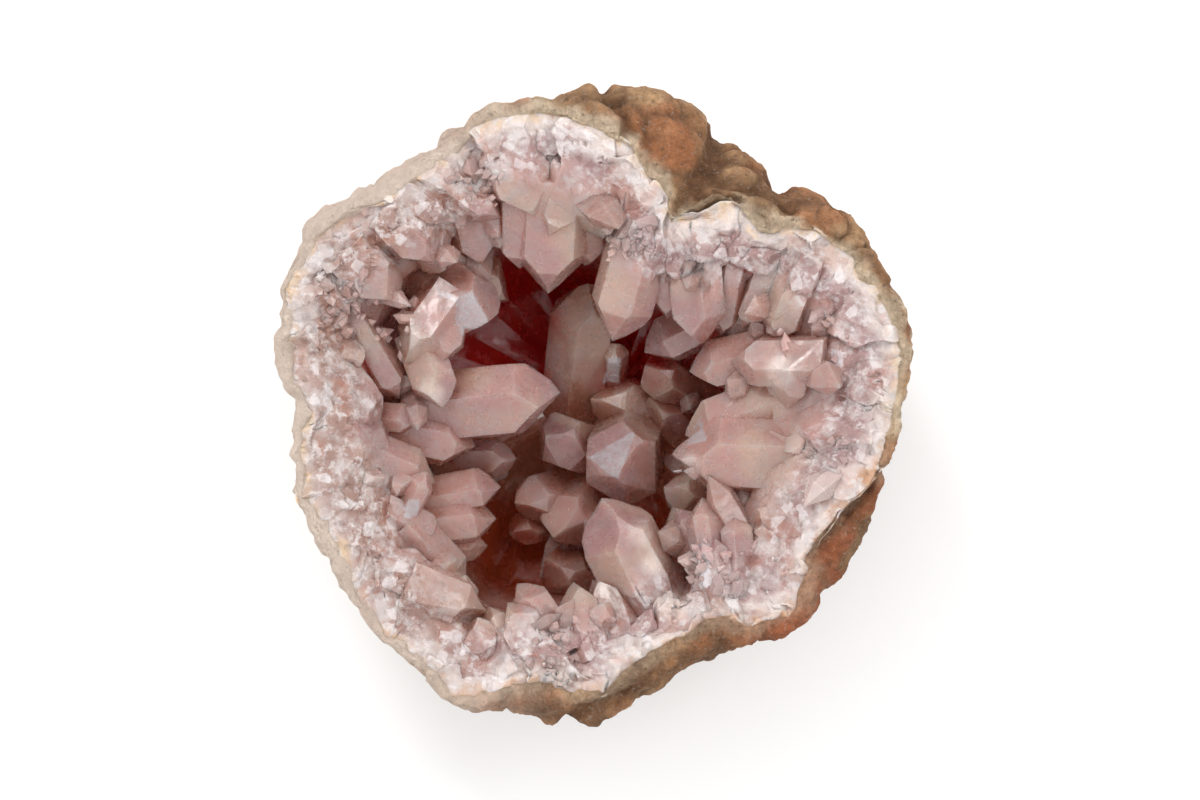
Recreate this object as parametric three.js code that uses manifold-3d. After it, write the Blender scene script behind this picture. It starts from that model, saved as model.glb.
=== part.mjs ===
// Half of a quartz geode, broken open and lying on its rounded back, in millimetres with +Z up.
// A lumpy brown stone rind holds one crust of pale quartz, whose crystals point into the hollow.
// The origin is at the middle of the flat place that it rests on, and +Y is the far side seen from above.
import * as THREE from "three";
import { ConvexGeometry } from "three/addons/geometries/ConvexGeometry.js";
import { mergeVertices } from "three/addons/utils/BufferGeometryUtils.js";
import Module from "manifold-3d";

const wasm = await Module();
wasm.setup();

// Driving dimensions
const RIM_HEIGHT = 54; // from the rest face to the broken rim, on average
const REST_SHARE = 0.32; // the rest face's radius as a share of the widest radius above it
const WALL = 4; // thickness of the rind well below the rim
const WALL_GROWTH = 0.6; // how fast the rind gets to that thickness below its thin edge
const EDGE_WIDTH = 2; // the rind's broken edge, where the widest radius leaves room for it
const THINNEST_EDGE = 0.7; // and where it leaves the least
const RIND_FLOOR = 6; // height of the rind's inside above the rest face
const GAP = 0.3; // clearance between the rind and the crust
const BULGE_DROP = 3; // how far below the rim the body is widest, where it hardly bulges
const BULGE_SLOPE = 1; // and how much lower that is for each millimetre of bulge
const MOST_DROP = 20;
const SIDE_ROUNDNESS = 1.15; // under 1 makes the lower side fuller than an ellipse
const BROAD_ANGLE = THREE.MathUtils.degToRad(24); // the back follows the outline's mean, this far each way
const BACK_FROM = 0.5; // how far down the side the back's own outline has taken over
const CAVITY_DEPTH = 37;

// The broken rim isn't level: how often it rises on the way around, how far, and from what angle
const RIM_WAVES = [
  { times: 2, height: 1.1, start: 0.5 },
  { times: 3, height: 0.8, start: 2.1 },
  { times: 5, height: 0.5, start: 1 },
];

// Mesh steps
const LOWER_RINGS = 8;
const UPPER_RINGS = 5;
const INNER_RINGS = 6;
const OUTLINE_SAMPLES = 720;
const BROAD_SAMPLES = 9;
const SLIVER = 0.06; // facets thinner than this go when the crystals are joined

// The widest outline of the body, seen from above, clockwise from the far side
const WIDEST = [
  [0.7, 53.7], [7.3, 53.3], [14, 51.2], [18.3, 49.3], [20, 45.7], [24, 44.3], [28.7, 39.7], [30.2, 36],
  [34.5, 36.3], [40.7, 33], [46.3, 27.7], [47.5, 23], [51, 16.8], [52.5, 10.2], [52.2, 5.2], [51.2, -0.3],
  [49.5, -4.8], [48, -10.7], [46.8, -17.3], [42.7, -25.2], [37.3, -32.3], [34, -37.7], [28.7, -39.3],
  [24.3, -39], [21, -42.5], [14.8, -44], [8.2, -49.3], [1.5, -52.7], [-4.3, -54], [-11, -52],
  [-17.7, -50.8], [-24, -49.5], [-28, -45.2], [-34.7, -40.3], [-40.2, -33.2], [-43.7, -26],
  [-45.7, -19.5], [-49.7, -15.7], [-50.7, -9], [-50.8, -3.7], [-49.3, -1.2], [-51.8, 4.7], [-52.7, 11],
  [-51.8, 18.5], [-49.3, 27.7], [-45.7, 33], [-39.3, 35.7], [-33.5, 39], [-26, 44.7], [-21, 48.2],
  [-16, 50.7], [-6, 52.3],
];

// The line on the broken rim where brown stone meets white quartz
const QUARTZ_EDGE = [
  [-3.5, 48.5], [1.8, 45.7], [8.2, 40.7], [11.5, 36.8], [12.7, 30.7], [17.3, 33], [23.2, 33.5], [29, 30],
  [34.5, 30.3], [41.5, 26], [47.3, 19], [50.3, 12.7], [50.8, 6], [50.2, 0.7], [48.7, -5.7], [47, -12],
  [42.3, -15.7], [39, -19.5], [36.5, -25.7], [34, -32], [30.7, -36.7], [24.8, -36.3], [19.8, -36],
  [14.8, -38.7], [8.7, -42], [4, -46.2], [-1, -49], [-6, -47.3], [-11, -46], [-15.2, -47.3],
  [-20.2, -49.7], [-24.3, -48.3], [-28, -44.3], [-34, -40], [-39.3, -33.2], [-42.8, -26], [-45, -20],
  [-48.8, -16.2], [-49.8, -9.3], [-50, -4], [-48.7, -1.2], [-51, 4.7], [-51.8, 11], [-51, 18.2],
  [-48.8, 26], [-46.3, 29], [-41.8, 32.7], [-35.2, 35.2], [-29.3, 39], [-24.3, 43.2], [-20.2, 47.3],
  [-16, 49], [-9.3, 49.8],
];

// The mouth of the hollow, where the rim's slope turns down into the wall
const LIP = [
  [-15, 32], [-6, 31], [5, 29], [13, 25], [22, 22], [29, 18], [32, 9], [30, 0], [28, -8], [25, -17],
  [20, -25], [15, -31], [6, -36], [-6, -37], [-17, -35], [-24, -31], [-29, -24], [-33, -15], [-35, -7],
  [-37, 2], [-38, 10], [-35, 18], [-28, 25], [-22, 30],
];

// Rings of the crust's inside: the way from the quartz edge to the lip, the share of the lip, the depth,
// and how far a point strays up or down
const CAVITY_RINGS = [
  { toLip: 0, ofLip: 1, depth: 0, rough: 0.3 },
  { toLip: 0.35, ofLip: 1, depth: 1.2, rough: 0.9 },
  { toLip: 0.7, ofLip: 1, depth: 3.6, rough: 1.1 },
  { toLip: 1, ofLip: 1, depth: 8, rough: 1.2 },
  { toLip: 1, ofLip: 0.98, depth: 15, rough: 1.2 },
  { toLip: 1, ofLip: 0.97, depth: 22, rough: 1.2 },
  { toLip: 1, ofLip: 0.86, depth: 29, rough: 1.2 },
  { toLip: 1, ofLip: 0.62, depth: 33.5, rough: 1.2 },
  { toLip: 1, ofLip: 0.32, depth: 36, rough: 1 },
];

const SIDE_STRAY = 0.5; // how far a point strays sideways, as a share of that

// Rings of the surface that the stone broke along, which no crystal reaches past
const BREAK_RINGS = [
  { toLip: 0.12, height: 0.9, rough: 0.5 },
  { toLip: 0.5, height: 0.8, rough: 1 },
  { toLip: 1, height: -0.5, rough: 1.2 },
];

// Deeper pockets of the hollow's floor
const POCKETS = [
  { x: -8, y: 15, radius: 9, depth: 6 },
  { x: -17, y: -27, radius: 6, depth: 3 },
];

// Nodules of the rind that show from above, and the rounded lumps of its back
const NODULES = [
  { at: [6, 48, 44], radius: 12, height: 1.8 },
  { at: [15, 42, 47], radius: 8, height: 1.6 },
  { at: [25, 41, 40], radius: 6, height: 1.4 },
  { at: [40, 30, 43], radius: 8, height: 1.5 },
  { at: [46, 24, 42], radius: 5, height: 1 },
  { at: [-5, -52, 44], radius: 7, height: 1 },
  { at: [12, -45, 46], radius: 6, height: 0.9 },
  { at: [42, -23, 44], radius: 7, height: 1 },
];
const BACK_LUMPS = 46;
const BACK_LUMP_RADIUS = [8, 16];
const BACK_LUMP_HEIGHT = [1.5, 3.5];
const BACK_LUMP_PLACE = [0.05, 0.9]; // their height, as a share of the height of the widest place
const BACK_SINK = 2.2; // how far the back lies inside its curve, where it has no lump
const LUMP_SLANT = 0.6; // how much lumps above or below the widest place point up or down
const BACK_FADE = 14; // lumps of the back grow over this distance below the widest place
const REST_FADE = 8; // and over this height above the rest face
const RIM_FADE = 3; // nodules shrink over this distance below the rim

// Crystals: the tip, the root and the width across flats. The third number of a point is its depth
// below the average rim.
const CRYSTALS = [
  // The middle of the hollow
  { tip: [3.5, -12, 13], root: [6.3, -5.7, 36], width: 13 },
  { tip: [-8.5, -5, 20], root: [-0.7, -7.3, 33], width: 9 },
  { tip: [-7.3, -22.3, 22], root: [-0.7, -14.3, 34], width: 10 },
  { tip: [-13.8, -16.5, 24], root: [-1.8, -14, 34], width: 8 },
  { tip: [-14.7, -21.8, 28], root: [-6, -19, 34], width: 6 },
  { tip: [-1.8, -19.8, 22], root: [0.7, -19, 32], width: 4 },
  { tip: [-1.3, 20.7, 22], root: [-4, -3.2, 38], width: 11 },
  { tip: [3.3, 10.5, 24], root: [2.7, 1, 36], width: 4.5 },
  { tip: [8.3, 6.7, 23], root: [16.5, 2.3, 32], width: 7 },
  { tip: [-1, 1, 28], root: [15.7, -2.3, 37], width: 9 },
  { tip: [9, 1.3, 27], root: [15.7, -5.7, 37], width: 8 },
  { tip: [-8.5, -25.7, 26], root: [-2.7, -30.7, 32], width: 8 },
  { tip: [0.7, -23.2, 24], root: [4, -28.2, 31], width: 6 },
  { tip: [11.5, -14, 18], root: [19, -16, 24], width: 6 },
  // The near side
  { tip: [1, -15.5, 9], root: [12.7, -37.7, 14], width: 12.5 },
  { tip: [-14.7, -32.8, 6], root: [-8, -43.7, 3], width: 8 },
  { tip: [-13.2, -29.8, 10], root: [-6.7, -39, 7], width: 8 },
  { tip: [-3.8, -29.5, 10], root: [-1, -39.3, 7], width: 6.5 },
  { tip: [0.3, -28.7, 12], root: [4.3, -38.3, 8], width: 6.5 },
  { tip: [-18, -33.7, 8], root: [-14.3, -41.5, 5], width: 5 },
  { tip: [-18.3, -34.7, 8], root: [-28.5, -30.7, 5], width: 9 },
  { tip: [-26, -28.7, 7], root: [-34.3, -28.2, 4], width: 8 },
  { tip: [17.8, -15.3, 6], root: [19.8, -31, 4], width: 6.5 },
  { tip: [23.3, -17.5, 5], root: [23.7, -28.2, 4], width: 6 },
  { tip: [26, -17, 6], root: [34, -24, 3], width: 6 },
  { tip: [19.3, -21.5, 3], root: [21.5, -32.3, 2], width: 5 },
  { tip: [12.7, -17, 14], root: [19.3, -25.7, 11], width: 8 },
  // The right side
  { tip: [12.8, -8.2, 11], root: [39, -9.3, 9], width: 13 },
  { tip: [15.7, 5.7, 15], root: [29.8, 9, 11], width: 9 },
  { tip: [15, -5, 15], root: [31.5, 1.3, 11], width: 9 },
  { tip: [22.7, 7.3, 8], root: [34.8, 7.3, 4], width: 8 },
  { tip: [31.8, -0.8, 6], root: [33.5, 6.8, 4], width: 6.5 },
  { tip: [29.8, 10.2, 8], root: [34.5, 22.7, 4], width: 7 },
  { tip: [24.8, 12.7, 12], root: [29, 22.7, 8], width: 6 },
  { tip: [21, 11.8, 13], root: [23.2, 22.7, 9], width: 6 },
  { tip: [34, -3.2, 3], root: [42.3, -5.7, 2], width: 7 },
  { tip: [38.2, 12.7, 4], root: [45.7, 14.3, 2], width: 9 },
  { tip: [39.8, 1.8, 3], root: [47.3, 3.5, 2], width: 8 },
  // The far side
  { tip: [-8, 18.8, 13], root: [-7.3, 35.2, 7], width: 12 },
  { tip: [-12.7, 23, 12], root: [-12.7, 34.3, 6], width: 7 },
  { tip: [-1.8, 23.5, 13], root: [-1, 34.3, 8], width: 7 },
  { tip: [2.8, 10.8, 10], root: [8.2, 29.7, 5], width: 10.5 },
  { tip: [17.8, 10.3, 10], root: [15.7, 27.7, 5], width: 8.5 },
  { tip: [12, 14.7, 11], root: [12.7, 27.7, 6], width: 6 },
  { tip: [8.2, 9, 20], root: [19, 14.3, 18], width: 8 },
  { tip: [-9.3, 30.7, 5], root: [-15.2, 44.3, 2], width: 10 },
  { tip: [1.3, 27.7, 5], root: [-1.3, 44.3, 2], width: 10 },
  { tip: [-8, 28, 4], root: [-5, 36, 3], width: 6.5 },
  { tip: [4.3, 27.7, 5], root: [5.3, 37.7, 2], width: 8 },
  { tip: [9, 25.2, 4], root: [9.8, 33.5, 2], width: 7 },
  { tip: [-15.7, 31.3, 5], root: [-25.2, 37.7, 3], width: 7 },
  { tip: [-23, 30.7, 5], root: [-31.8, 35.7, 3], width: 8 },
  { tip: [-19, 23.7, 14], root: [-21, 31.8, 9], width: 9 },
  { tip: [-14.7, 17.7, 20], root: [-22.7, 22.7, 16], width: 9 },
  // The left side
  { tip: [-6, 2.2, 13], root: [-27.7, 0.2, 17], width: 12 },
  { tip: [-20.3, -6.8, 17], root: [-33.5, -4.3, 15], width: 8 },
  { tip: [-13.5, -9, 24], root: [-23.5, -9.3, 26], width: 6 },
  { tip: [-17.3, -12, 27], root: [-26, -12.7, 28], width: 6 },
  { tip: [-18, 14, 6], root: [-26, 21, 16], width: 11 },
  { tip: [-32, 7.3, 8], root: [-26, 15.7, 10], width: 8.5 },
  { tip: [-26.8, 6.3, 9], root: [-25.2, 14.3, 10], width: 7 },
  { tip: [-25.7, -0.3, 8], root: [-29, 8.5, 11], width: 7 },
  { tip: [-33, 1, 13], root: [-41.3, 14.7, 8], width: 7 },
  { tip: [-29.5, -2.7, 10], root: [-37.3, -2, 12], width: 5 },
  { tip: [-36.3, -4.3, 8], root: [-47.3, 10.2, 4], width: 9 },
  { tip: [-40, 18, 3], root: [-50, 17.3, 2], width: 6 },
  { tip: [-40.7, 14, 5], root: [-50.3, 13.3, 3], width: 6 },
  { tip: [-26, 24, 5], root: [-32.7, 30.2, 3], width: 9 },
  { tip: [-32.7, 17.7, 5], root: [-39.3, 23.5, 3], width: 9 },
  { tip: [-27, -13, 11], root: [-35.7, -9.3, 9], width: 8 },
  { tip: [-28.3, -17.7, 13], root: [-35.3, -15.7, 11], width: 6 },
  { tip: [-16, -13.7, 18], root: [-26.8, -15.7, 17], width: 7 },
  { tip: [-16.7, -19, 18], root: [-26.7, -20.3, 16], width: 8 },
  { tip: [-18.2, -23.7, 20], root: [-26, -23.2, 18], width: 6 },
  { tip: [-22, -31, 13], root: [-30, -22.3, 10], width: 8 },
  { tip: [-26, -22.3, 12], root: [-33, -19, 8], width: 6 },
];
const ROOT_LENGTH = 4; // how far a crystal runs on into the crust behind its root
const POINT_ANGLE = THREE.MathUtils.degToRad(51.8); // a point face's normal, from the crystal's axis
const PRISM_FACES = 6;
const PRISM_SPREAD = [0.82, 1.08]; // how far a prism face is from the axis, in half widths
const MINOR_SETBACK = [0.03, 0.16]; // how far three of the point's faces stand back, in widths

// Small broken crystals around the rim
const RIM_BLOCKS = 40;
const RIM_BLOCK_WAY = [0.3, 1]; // where they root, on the way from the quartz edge to the lip
const RIM_BLOCK_LENGTH = [3, 7];
const RIM_BLOCK_WIDTH = [3.5, 6];
const RIM_BLOCK_DEPTH = 5; // how deep the tips are at the lip
const RIM_BLOCK_TIP = [-0.5, 2]; // how much deeper a tip may be
const RIM_BLOCK_SWAY = 0.7; // how far a tip leans to one side, in lengths
const RIM_BLOCK_SINK = [0.4, 1]; // how much deeper the root is, in lengths

const FINISHES = {
  rind: { color: 0xa87c55, roughness: 0.9 },
  crystal_crust: { color: 0xd9bdb8, roughness: 0.3 },
};

// Limits for telling corners apart
const NEARLY_PARALLEL = 1e-6;
const ON_PLANE = 1e-6;
const SAME_CORNER = 1e-3;

// The same random numbers on every run, from a linear congruential generator
const SEED = 20117;
const MULTIPLIER = 1664525;
const INCREMENT = 1013904223;
const MODULUS = 2 ** 32;

function randomFrom(seed) {
  let state = seed >>> 0;
  return (low = 0, high = 1) => {
    state = (Math.imul(state, MULTIPLIER) + INCREMENT) >>> 0;
    return low + ((high - low) * state) / MODULUS;
  };
}

const random = randomFrom(SEED);
const smooth = (t) => THREE.MathUtils.smoothstep(t, 0, 1);

// The radius of a closed outline as a function of the angle around the origin
function radiusOf(points) {
  const curve = new THREE.CatmullRomCurve3(
    points.map(([x, y]) => new THREE.Vector3(x, y, 0)),
    true,
  );
  const samples = curve
    .getPoints(OUTLINE_SAMPLES)
    .map((p) => ({ angle: Math.atan2(p.y, p.x), radius: Math.hypot(p.x, p.y) }))
    .sort((a, b) => a.angle - b.angle);
  return (angle) => {
    const wrapped = Math.atan2(Math.sin(angle), Math.cos(angle));
    const found = samples.findIndex((s) => s.angle >= wrapped);
    const after = samples[found < 0 ? 0 : found];
    const before = samples.at(found < 0 ? -1 : found - 1);
    const turn = 2 * Math.PI;
    const span = (after.angle - before.angle + turn) % turn || turn;
    const way = ((wrapped - before.angle + turn) % turn) / span;
    return THREE.MathUtils.lerp(before.radius, after.radius, way);
  };
}

// The body's facets meet at the outline's own points
const ANGLES = WIDEST.map(([x, y]) => Math.atan2(y, x)).sort((a, b) => a - b);
const TURNS = ANGLES.length;

const widest = radiusOf(WIDEST);
const broadWays = Array.from({ length: BROAD_SAMPLES }, (_, i) => (2 * i) / (BROAD_SAMPLES - 1) - 1);
const broad = (angle) =>
  broadWays.reduce((sum, way) => sum + widest(angle + way * BROAD_ANGLE) / BROAD_SAMPLES, 0);
const quartzEdge = radiusOf(QUARTZ_EDGE);
const lip = radiusOf(LIP);

function rimHeight(angle) {
  return RIM_WAVES.reduce(
    (sum, { times, height, start }) => sum + height * Math.cos(times * angle + start),
    RIM_HEIGHT,
  );
}

// The body's side at one angle, before its lumps
function side(angle) {
  const out = widest(angle);
  const inner = Math.min(quartzEdge(angle), out - THINNEST_EDGE);
  const edge = Math.min(out, inner + EDGE_WIDTH);
  const top = rimHeight(angle);
  const drop = Math.min(BULGE_DROP + BULGE_SLOPE * (out - edge), MOST_DROP);
  return { out, inner, edge, top, middle: top - drop, back: Math.min(broad(angle), out) };
}

// The outside's radius at a height
function outsideRadius(s, z) {
  if (z > s.middle) {
    const rise = Math.min(1, (z - s.middle) / (s.top - s.middle));
    return s.edge + (s.out - s.edge) * Math.sqrt(1 - rise * rise);
  }
  const low = 1 - z / s.middle;
  const out = THREE.MathUtils.lerp(s.out, s.back, smooth(low / BACK_FROM));
  return out * (REST_SHARE + (1 - REST_SHARE) * Math.pow(1 - low * low, SIDE_ROUNDNESS / 2));
}

// The rind's inside radius at a height
function insideRadius(s, z) {
  const wall = Math.min(WALL, s.edge - s.inner + WALL_GROWTH * (s.top - z));
  return Math.min(s.inner, outsideRadius(s, z) - wall);
}

const backLumps = Array.from({ length: BACK_LUMPS }, () => {
  const angle = random(0, 2 * Math.PI);
  const s = side(angle);
  const z = s.middle * random(...BACK_LUMP_PLACE);
  const r = outsideRadius(s, z);
  return {
    at: [r * Math.cos(angle), r * Math.sin(angle), z],
    radius: random(...BACK_LUMP_RADIUS),
    height: random(...BACK_LUMP_HEIGHT),
  };
});

// How far a list of lumps lifts a point of the outside
function lift(point, lumps) {
  return lumps.reduce((sum, lump) => {
    const near = 1 - point.distanceTo(new THREE.Vector3(...lump.at)) / lump.radius;
    return sum + lump.height * smooth(near);
  }, 0);
}

function lumpy(point, s) {
  const outward = new THREE.Vector3(point.x, point.y, (point.z - s.middle) * LUMP_SLANT).normalize();
  const belowWidest = smooth((s.middle - point.z) / BACK_FADE);
  const clearOfRest = smooth(point.z / REST_FADE);
  const clearOfRim = smooth((s.top - point.z) / RIM_FADE);
  const height =
    (lift(point, backLumps) - BACK_SINK) * belowWidest * clearOfRest +
    lift(point, NODULES) * clearOfRim;
  point.addScaledVector(outward, height);
  const within = Math.min(1, s.out / Math.hypot(point.x, point.y));
  return new THREE.Vector3(point.x * within, point.y * within, point.z);
}

const polar = (r, angle, z) => new THREE.Vector3(r * Math.cos(angle), r * Math.sin(angle), z);

// A closed surface from rings of points, each ring turning the same way, between two end points.
// Each quad is split from its low corner to its high one, so that two surfaces side by side
// have the same facets.
function ringedSolid(first, rings, last) {
  const vertices = [first, ...rings.flat(), last];
  const index = [];
  const at = (ring, turn) => 1 + ring * TURNS + (turn % TURNS);
  for (let turn = 0; turn < TURNS; turn++) {
    index.push(0, at(0, turn + 1), at(0, turn));
    for (let ring = 0; ring + 1 < rings.length; ring++) {
      const [a, b] = [at(ring, turn), at(ring, turn + 1)];
      const [c, d] = [at(ring + 1, turn), at(ring + 1, turn + 1)];
      const rising = vertices[c].z > vertices[a].z;
      index.push(...(rising ? [a, b, d, a, d, c] : [a, b, c, b, d, c]));
    }
    index.push(vertices.length - 1, at(rings.length - 1, turn), at(rings.length - 1, turn + 1));
  }
  const geometry = new THREE.BufferGeometry().setFromPoints(vertices);
  geometry.setIndex(index);
  return geometry;
}

// One ring of points around the body, from a function of the angle
function ring(pointAt) {
  return ANGLES.map((angle) => pointAt(angle, side(angle)));
}

function outsideRings() {
  const lower = Array.from({ length: LOWER_RINGS + 1 }, (_, i) =>
    ring((angle, s) => {
      const z = s.middle * (1 - Math.cos((i / LOWER_RINGS) * (Math.PI / 2)));
      return lumpy(polar(outsideRadius(s, z), angle, z), s);
    }),
  );
  const upper = Array.from({ length: UPPER_RINGS }, (_, i) =>
    ring((angle, s) => {
      const z = s.middle + (s.top - s.middle) * Math.sin(((i + 1) / UPPER_RINGS) * (Math.PI / 2));
      return lumpy(polar(outsideRadius(s, z), angle, z), s);
    }),
  );
  return [...lower, ...upper];
}

// The rind's inside from the rim down, set in by a gap
function insideRings(gap) {
  return Array.from({ length: INNER_RINGS + 1 }, (_, i) =>
    ring((angle, s) => {
      const z = RIND_FLOOR + (s.top - RIND_FLOOR) * Math.cos((i / INNER_RINGS) * (Math.PI / 2));
      const raised = i < INNER_RINGS ? 0 : gap;
      return polar(insideRadius(s, z) - gap, angle, z + raised);
    }),
  );
}

function rindGeometry() {
  return ringedSolid(
    new THREE.Vector3(0, 0, 0),
    [...outsideRings(), ...insideRings(0)],
    new THREE.Vector3(0, 0, RIND_FLOOR),
  );
}

function pocketDepth(x, y) {
  return POCKETS.reduce((sum, p) => {
    const away = Math.hypot(x - p.x, y - p.y) / p.radius;
    return sum + p.depth * Math.exp(-away * away);
  }, 0);
}

function cavityRing({ toLip, ofLip, depth, rough }) {
  return ring((angle, s) => {
    const start = s.inner - GAP;
    const r = THREE.MathUtils.lerp(start, lip(angle), toLip) * ofLip;
    const jitter = toLip ? random(-rough, rough) * SIDE_STRAY : 0;
    const point = polar(r + jitter, angle, 0);
    const below = toLip < 1 ? 0 : pocketDepth(point.x, point.y);
    point.z = s.top - depth - below + random(-rough, rough);
    return point;
  });
}

// The massive quartz that lines the rind, before its crystals
function liningGeometry() {
  return ringedSolid(
    new THREE.Vector3(0, 0, RIND_FLOOR + GAP),
    [...insideRings(GAP).reverse().slice(0, -1), ...CAVITY_RINGS.map(cavityRing)],
    new THREE.Vector3(0, 0, RIM_HEIGHT - CAVITY_DEPTH),
  );
}

// The space inside the rind, which the crust may fill, up to the uneven break across the whole stone
function roomGeometry() {
  const breakRings = BREAK_RINGS.map(({ toLip, height, rough }) =>
    ring((angle, s) => {
      const r = THREE.MathUtils.lerp(s.inner - GAP, lip(angle), toLip);
      return polar(r, angle, s.top + height + random(-rough, rough));
    }),
  );
  return ringedSolid(
    new THREE.Vector3(0, 0, RIND_FLOOR + GAP),
    [...insideRings(GAP).reverse(), ...breakRings],
    new THREE.Vector3(0, 0, RIM_HEIGHT),
  );
}

// The corners of the space that lies behind every plane
function cornersOf(planes) {
  const corners = [];
  const solve = new THREE.Matrix3();
  for (let i = 0; i < planes.length; i++) {
    for (let j = i + 1; j < planes.length; j++) {
      for (let k = j + 1; k < planes.length; k++) {
        const three = [planes[i], planes[j], planes[k]];
        solve.set(...three.flatMap((p) => p.normal.toArray()));
        if (Math.abs(solve.determinant()) < NEARLY_PARALLEL) continue;
        const offsets = new THREE.Vector3(...three.map((p) => -p.constant));
        const corner = offsets.applyMatrix3(solve.invert());
        const inside = planes.every((p) => p.distanceToPoint(corner) < ON_PLANE);
        const fresh = corners.every((c) => c.distanceTo(corner) > SAME_CORNER);
        if (inside && fresh) corners.push(corner);
      }
    }
  }
  return corners;
}

const fromRim = ([x, y, depth]) => new THREE.Vector3(x, y, RIM_HEIGHT - depth);

// A six-sided quartz prism with uneven faces, ending in three large and three smaller point faces
function crystalGeometry({ tip, root, width }) {
  const top = fromRim(tip);
  const axis = top.clone().sub(fromRim(root)).normalize();
  const start = fromRim(root).addScaledVector(axis, -ROOT_LENGTH);
  const across = new THREE.Vector3(0, 0, 1).cross(axis).normalize();
  const planes = [new THREE.Plane().setFromNormalAndCoplanarPoint(axis.clone().negate(), start)];
  const roll = random(0, Math.PI / 3);
  for (let face = 0; face < PRISM_FACES; face++) {
    const out = across.clone().applyAxisAngle(axis, roll + (face * 2 * Math.PI) / PRISM_FACES);
    const flat = top.clone().addScaledVector(out, 0.5 * width * random(...PRISM_SPREAD));
    planes.push(new THREE.Plane().setFromNormalAndCoplanarPoint(out, flat));
    const slope = axis.clone().multiplyScalar(Math.cos(POINT_ANGLE));
    slope.addScaledVector(out, Math.sin(POINT_ANGLE));
    const setback = face % 2 ? width * random(...MINOR_SETBACK) : 0;
    const through = top.clone().addScaledVector(slope, setback);
    planes.push(new THREE.Plane().setFromNormalAndCoplanarPoint(slope, through));
  }
  return new ConvexGeometry(cornersOf(planes));
}

// Small broken crystals on the rim, leaning in towards the hollow
function rimBlocks() {
  return Array.from({ length: RIM_BLOCKS }, (_, i) => {
    const angle = ((i + random()) / RIM_BLOCKS) * 2 * Math.PI;
    const out = new THREE.Vector2(Math.cos(angle), Math.sin(angle));
    const aside = new THREE.Vector2(-out.y, out.x);
    const way = random(...RIM_BLOCK_WAY);
    const root = out.clone().multiplyScalar(THREE.MathUtils.lerp(side(angle).inner, lip(angle), way));
    const length = random(...RIM_BLOCK_LENGTH);
    const sway = length * random(-RIM_BLOCK_SWAY, RIM_BLOCK_SWAY);
    const tip = root.clone().addScaledVector(out, -length).addScaledVector(aside, sway);
    const depth = RIM_BLOCK_DEPTH * way;
    return {
      tip: [tip.x, tip.y, depth + random(...RIM_BLOCK_TIP)],
      root: [root.x, root.y, depth + length * random(...RIM_BLOCK_SINK)],
      width: random(...RIM_BLOCK_WIDTH),
    };
  });
}

function solidOf(geometry) {
  geometry.deleteAttribute("normal");
  geometry.deleteAttribute("uv");
  const merged = mergeVertices(geometry);
  const vertProperties = merged.attributes.position.array;
  const triVerts = new Uint32Array(merged.index.array);
  return new wasm.Manifold(new wasm.Mesh({ numProp: 3, vertProperties, triVerts }));
}

function geometryOf(solid) {
  const { vertProperties, triVerts } = solid.getMesh();
  const geometry = new THREE.BufferGeometry();
  geometry.setAttribute("position", new THREE.BufferAttribute(vertProperties, 3));
  geometry.setIndex(new THREE.BufferAttribute(triVerts, 1));
  return geometry;
}

// Only the outer skin of a solid, so that no gap stays sealed inside it
function skinOf(solid) {
  const bodies = solid.decompose();
  bodies.sort((a, b) => b.volume() - a.volume());
  return geometryOf(bodies[0]);
}

// The lining and its crystals grown together
function crustGeometry() {
  const grown = [...CRYSTALS, ...rimBlocks()].reduce(
    (solid, crystal) => solid.add(solidOf(crystalGeometry(crystal))),
    solidOf(liningGeometry()),
  );
  const skin = skinOf(grown.intersect(solidOf(roomGeometry())));
  return skinOf(solidOf(skin).simplify(SLIVER));
}

function piece(name, geometry) {
  geometry.computeVertexNormals();
  const material = new THREE.MeshStandardMaterial({ ...FINISHES[name], metalness: 0, flatShading: true });
  const mesh = new THREE.Mesh(geometry, material);
  mesh.name = name;
  return mesh;
}

const geode = new THREE.Group();
geode.add(piece("rind", rindGeometry()));
geode.add(piece("crystal_crust", crustGeometry()));
const middle = new THREE.Box3().setFromObject(geode).getCenter(new THREE.Vector3());
geode.children.forEach((mesh) => mesh.geometry.translate(-middle.x, -middle.y, 0));

export default geode;
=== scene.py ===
import math

import bpy
import numpy as np
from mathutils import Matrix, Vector
from mathutils.bvhtree import BVHTree


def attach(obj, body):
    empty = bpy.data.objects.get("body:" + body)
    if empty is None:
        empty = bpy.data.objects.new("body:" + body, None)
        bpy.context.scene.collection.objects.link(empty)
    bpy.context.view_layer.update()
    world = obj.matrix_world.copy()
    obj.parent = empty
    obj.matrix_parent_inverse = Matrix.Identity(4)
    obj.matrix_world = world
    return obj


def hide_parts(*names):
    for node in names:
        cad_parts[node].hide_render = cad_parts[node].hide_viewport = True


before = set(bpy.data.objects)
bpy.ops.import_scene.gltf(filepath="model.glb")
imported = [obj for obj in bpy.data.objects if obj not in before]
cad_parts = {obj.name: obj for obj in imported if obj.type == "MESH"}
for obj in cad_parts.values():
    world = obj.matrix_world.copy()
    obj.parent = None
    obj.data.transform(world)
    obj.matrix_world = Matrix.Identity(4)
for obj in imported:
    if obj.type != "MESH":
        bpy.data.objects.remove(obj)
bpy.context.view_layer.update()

MM = 0.001
RIM = 54.0  # height of the broken rim, in millimetres like every length below
PHOTO_WIDTH = 1200.0  # in pixels
PHOTO_MIDDLE = (596.0, 406.0)  # the pixel over the middle of the part
MIDDLE_SHIFT = (0.1, 0.15)
PIXELS_PER_MM = 6.0  # at the rim
EYE = 1500.0  # from the rim to the camera

# Longest edges of the dressed meshes
FIRST_RIND = 2.4
FINE_RIND = 1.05
BACK_RIND = 1.6
FINE_BAND = 0.85
FINE_CRYSTAL = 1.9
# edges on the faces where a white shine is painted
FINE_PAINTED_SHINE = 0.5
COARSE = 8.0
SPLIT_ROUNDS = 9

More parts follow.
